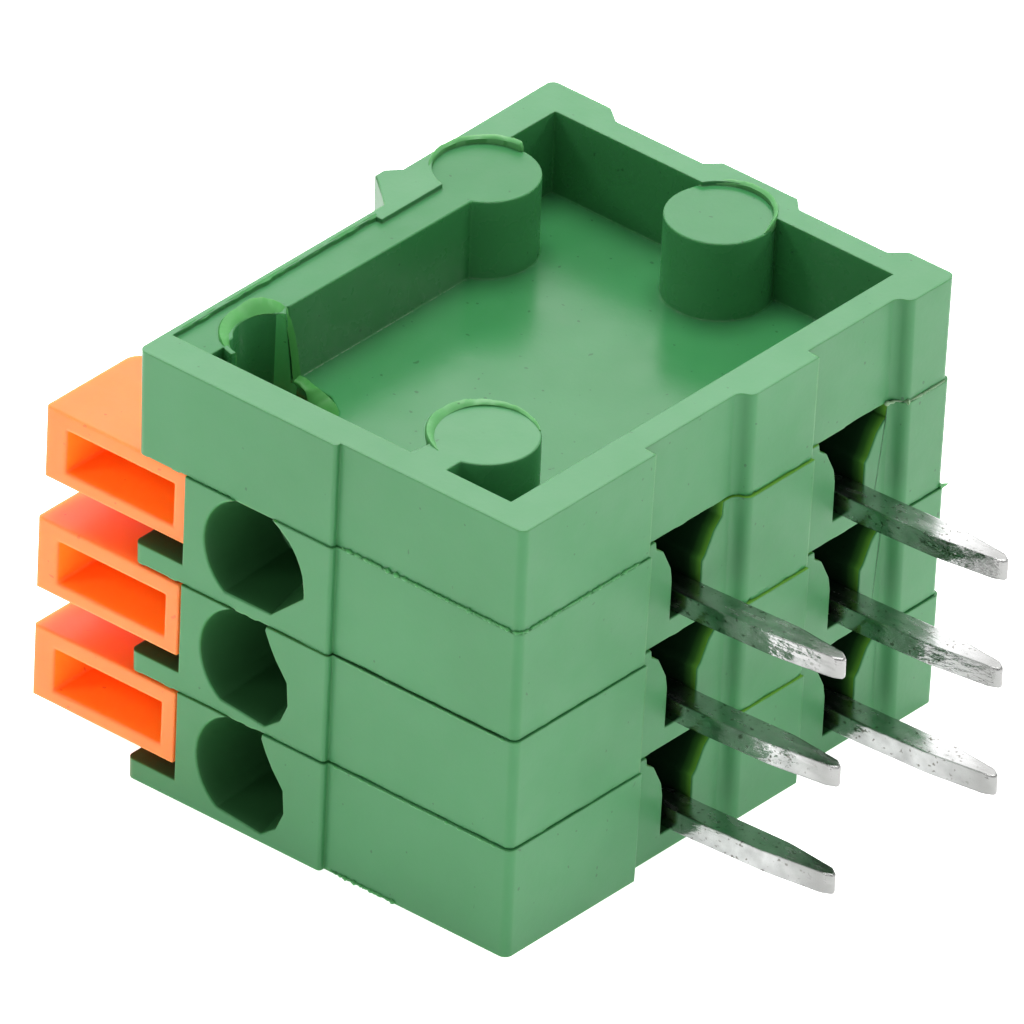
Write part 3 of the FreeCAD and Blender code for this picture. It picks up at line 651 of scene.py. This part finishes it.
# thin flash left round the bosses
lip("end_plate_boss_flash_1", (0.54, 9.73), 21, 0.02, light_flash,
    [(88, 9.85, 1.08, 10.00, 1.13, 10.02), (91, 9.85, 1.06, 10.08, 1.15, 10.12),
     (97, 9.85, 1.05, 10.09, 1.17, 10.13), (130, 9.85, 1.065, 10.07, 1.16, 10.12),
     (165, 9.85, 1.065, 10.06, 1.16, 10.11), (200, 9.85, 1.07, 10.04, 1.15, 10.09),
     (235, 9.85, 1.08, 9.99, 1.14, 10.03), (252, 9.85, 1.09, 9.94, 1.12, 9.96)])
lip("end_plate_boss_flash_2", (4.94, 11.78), 22, 0.02, light_flash,
    [(3, 9.85, 1.09, 9.94, 1.12, 9.96), (20, 9.85, 1.07, 10.03, 1.15, 10.08),
     (50, 9.85, 1.065, 10.05, 1.16, 10.10), (95, 9.85, 1.065, 10.05, 1.16, 10.10),
     (125, 9.85, 1.07, 10.01, 1.15, 10.05), (152, 9.85, 1.09, 9.94, 1.12, 9.96)])
lip("end_plate_boss_flash_3", (6.98, 2.19), 23, 0.025, light_flash,
    [(50, 9.95, 1.09, 10.03, 1.12, 10.05), (70, 9.95, 1.07, 10.06, 1.14, 10.09),
     (95, 9.95, 1.07, 10.07, 1.15, 10.11), (135, 9.95, 1.03, 10.09, 1.17, 10.14),
     (165, 9.95, 0.99, 10.07, 1.18, 10.15), (200, 9.95, 0.96, 10.06, 1.18, 10.14),
     (225, 9.95, 0.99, 10.06, 1.17, 10.12), (245, 9.95, 1.04, 10.05, 1.15, 10.09),
     (262, 9.95, 1.09, 10.03, 1.12, 10.05)])


def ridge_burr(name, start, length, count):
    """Wavy burr on the raised ridge of the left wall."""
    rings = []
    for k in range(count + 1):
        y = start + k * (length / count)
        wave = (0.026 * noise.noise(Vector((y * 1.9, 0.3, 0)))
                + 0.01 * noise.noise(Vector((y * 9.0, 2.3, 0))))
        inner = (0.135 + 0.035 * noise.noise(Vector((y * 2.7, 5.1, 0)))
                 + 0.01 * noise.noise(Vector((y * 11.0, 7.1, 0))))
        rings.append([place(x, y, z) for x, z in
                      ((0.03, 9.95), (inner, 9.90), (inner + 0.004, 10.02 + wave), (0.085, 10.05 + wave),
                       (0.03, 10.03))])
    add_piece(name, *loft_rings(rings), green_flash)


ridge_burr("end_plate_ridge_burr", 0.9, 6.0, 120)

# threads of flash: where the tray's left wall meets the floor, in the seams and on the lower front edge.
# Each has its size, seed, material and height, and the points that it runs through.
THREADS = [
    ("end_plate_floor_thread_1", 0.012, 41, pale_flash, TRAY_FLOOR, [(1.06, 3.6), (1.06, 5.4)]),
    ("end_plate_floor_thread_2", 0.010, 42, pale_flash, TRAY_FLOOR, [(1.06, 5.9), (1.06, 7.0)]),
    ("end_plate_floor_thread_3", 0.008, 43, pale_flash, TRAY_FLOOR, [(1.06, 7.5), (1.06, 8.3)]),
    ("end_plate_seam_thread_1", 0.040, 45, green_flash, 7.635,
     [(5.3, -0.015), (6.3, -0.02), (7.4, -0.02), (8.5, -0.02), (9.70, -0.015), (9.82, 0.01), (9.88, 0.09),
      (9.895, 0.2), (9.895, 1.3), (9.895, 2.5), (9.89, 3.65)]),
    ("end_plate_seam_thread_3", 0.040, 49, pale_flash, 7.63,
     [(9.60, 11.50), (9.68, 11.74), (9.88, 11.88), (9.90, 12.4), (9.89, 12.98)]),
    ("end_plate_seam_thread_2", 0.010, 46, green_flash, 7.62, [(3.7, -0.16), (4.9, -0.16)]),
    ("pole_housing_1_edge_burr", 0.045, 44, green_flash, 0.035, [(5.3, 0.0), (6.1, -0.01), (7.0, 0.0)]),
    ("pole_housing_2_seam_thread", 0.022, 47, green_flash, 5.058,
     [(5.3, -0.035), (6.4, -0.04), (7.5, -0.04), (8.6, -0.04), (9.65, -0.035)]),
    ("pole_housing_1_seam_thread", 0.024, 48, green_flash, 2.518,
     [(5.3, -0.035), (6.4, -0.04), (7.5, -0.04), (8.6, -0.04), (9.65, -0.035)]),
]
for name, size, seed, material, height, points in THREADS:
    burr(name, size, seed, material, [(x, y, height) for x, y in points])

# a small spike at the far corner of the seam between the two upper slices
add_piece("pole_housing_3_corner_flash",
          [place(*p) for p in ((9.78, 13.02, 5.07), (9.95, 13.22, 5.12), (9.93, 13.00, 5.07), (9.78, 13.02, 5.14),
                               (9.95, 13.21, 5.14), (9.93, 13.00, 5.15))],
          [(0, 1, 2), (3, 5, 4), (0, 3, 4, 1), (1, 4, 5, 2), (2, 5, 3, 0)], green_flash)


# ---------------------------------------------------------------- floor, light and camera

FLOOR_HALF = 1.2              # metres
FLOOR_DROP = 0.00002          # metres; keeps the floor clear of the lower face
AIM = (0, 0, 0.005)           # metres; the point that the lights face


def soft_floor():
    mat, tree, shader = new_material("pale_floor")
    colour = grey_ramp(tree, noise_tex(tree, coords(tree), 30, 2), (0.3, 0.90), (0.7, 0.93))
    tree.links.new(colour, shader.inputs["Base Color"])
    shader.inputs["Roughness"].default_value = 0.9
    shader.inputs["Specular IOR Level"].default_value = 0.1
    shader.inputs["Emission Color"].default_value = (1.0, 1.0, 1.0, 1.0)
    shader.inputs["Emission Strength"].default_value = 0.97
    mesh = bpy.data.meshes.new("floor")
    corners = [(x * FLOOR_HALF, y * FLOOR_HALF, 0) for x, y in ((-1, -1), (1, -1), (1, 1), (-1, 1))]
    mesh.from_pydata(corners, [], [(0, 1, 2, 3)])
    mesh.materials.append(mat)
    floor = bpy.data.objects.new("floor", mesh)
    floor.location = (0, 0, -FLOOR_DROP)
    bpy.context.scene.collection.objects.link(floor)


def softbox(name, at, size, brightness):
    """Rectangular light of the given radiance, in metres, that faces the block."""
    light = bpy.data.lights.new(name, "AREA")
    light.shape = "RECTANGLE"
    light.size, light.size_y = size
    light.energy = brightness * math.pi * size[0] * size[1]
    lamp = bpy.data.objects.new(name, light)
    lamp.location = at
    aim = Vector(AIM) - Vector(at)
    lamp.rotation_euler = aim.to_track_quat("-Z", "Y").to_euler()
    bpy.context.scene.collection.objects.link(lamp)


soft_floor()
softbox("key_softbox", (-0.05, 0.055, 0.38), (0.22, 0.22), 12.4)
softbox("rear_softbox", (-0.24, 0.28, 0.22), (0.40, 0.22), 2.45)
softbox("left_strip", (0.0, -0.075, 0.009), (0.15, 0.018), 0.6)
softbox("right_strip", (0.075, 0.0, 0.009), (0.15, 0.018), 1.5)
softbox("left_edge_light", (-0.167, -0.167, 0.185), (0.06, 0.06), 12)
softbox("right_edge_light", (0.160, 0.198, 0.160), (0.06, 0.06), 12)

world = bpy.data.worlds.new("studio")
world.use_nodes = True
backdrop = world.node_tree.nodes["Background"]
backdrop.inputs[0].default_value = (1, 1, 1, 1)
backdrop.inputs[1].default_value = 0.50
bpy.context.scene.world = world
bpy.context.scene.view_settings.view_transform = "Standard"

lens = bpy.data.cameras.new("photo_camera")
lens.sensor_width = 36
lens.lens = 1406.25
lens.clip_start = 0.05
lens.clip_end = 5
camera = bpy.data.objects.new("photo_camera", lens)
camera.location = place(429.9562, -513.3220, 432.1930)
camera.rotation_euler = [math.radians(a) for a in (57.5302, -2.0334, 40.6099)]
bpy.context.scene.collection.objects.link(camera)
bpy.context.scene.camera = camera
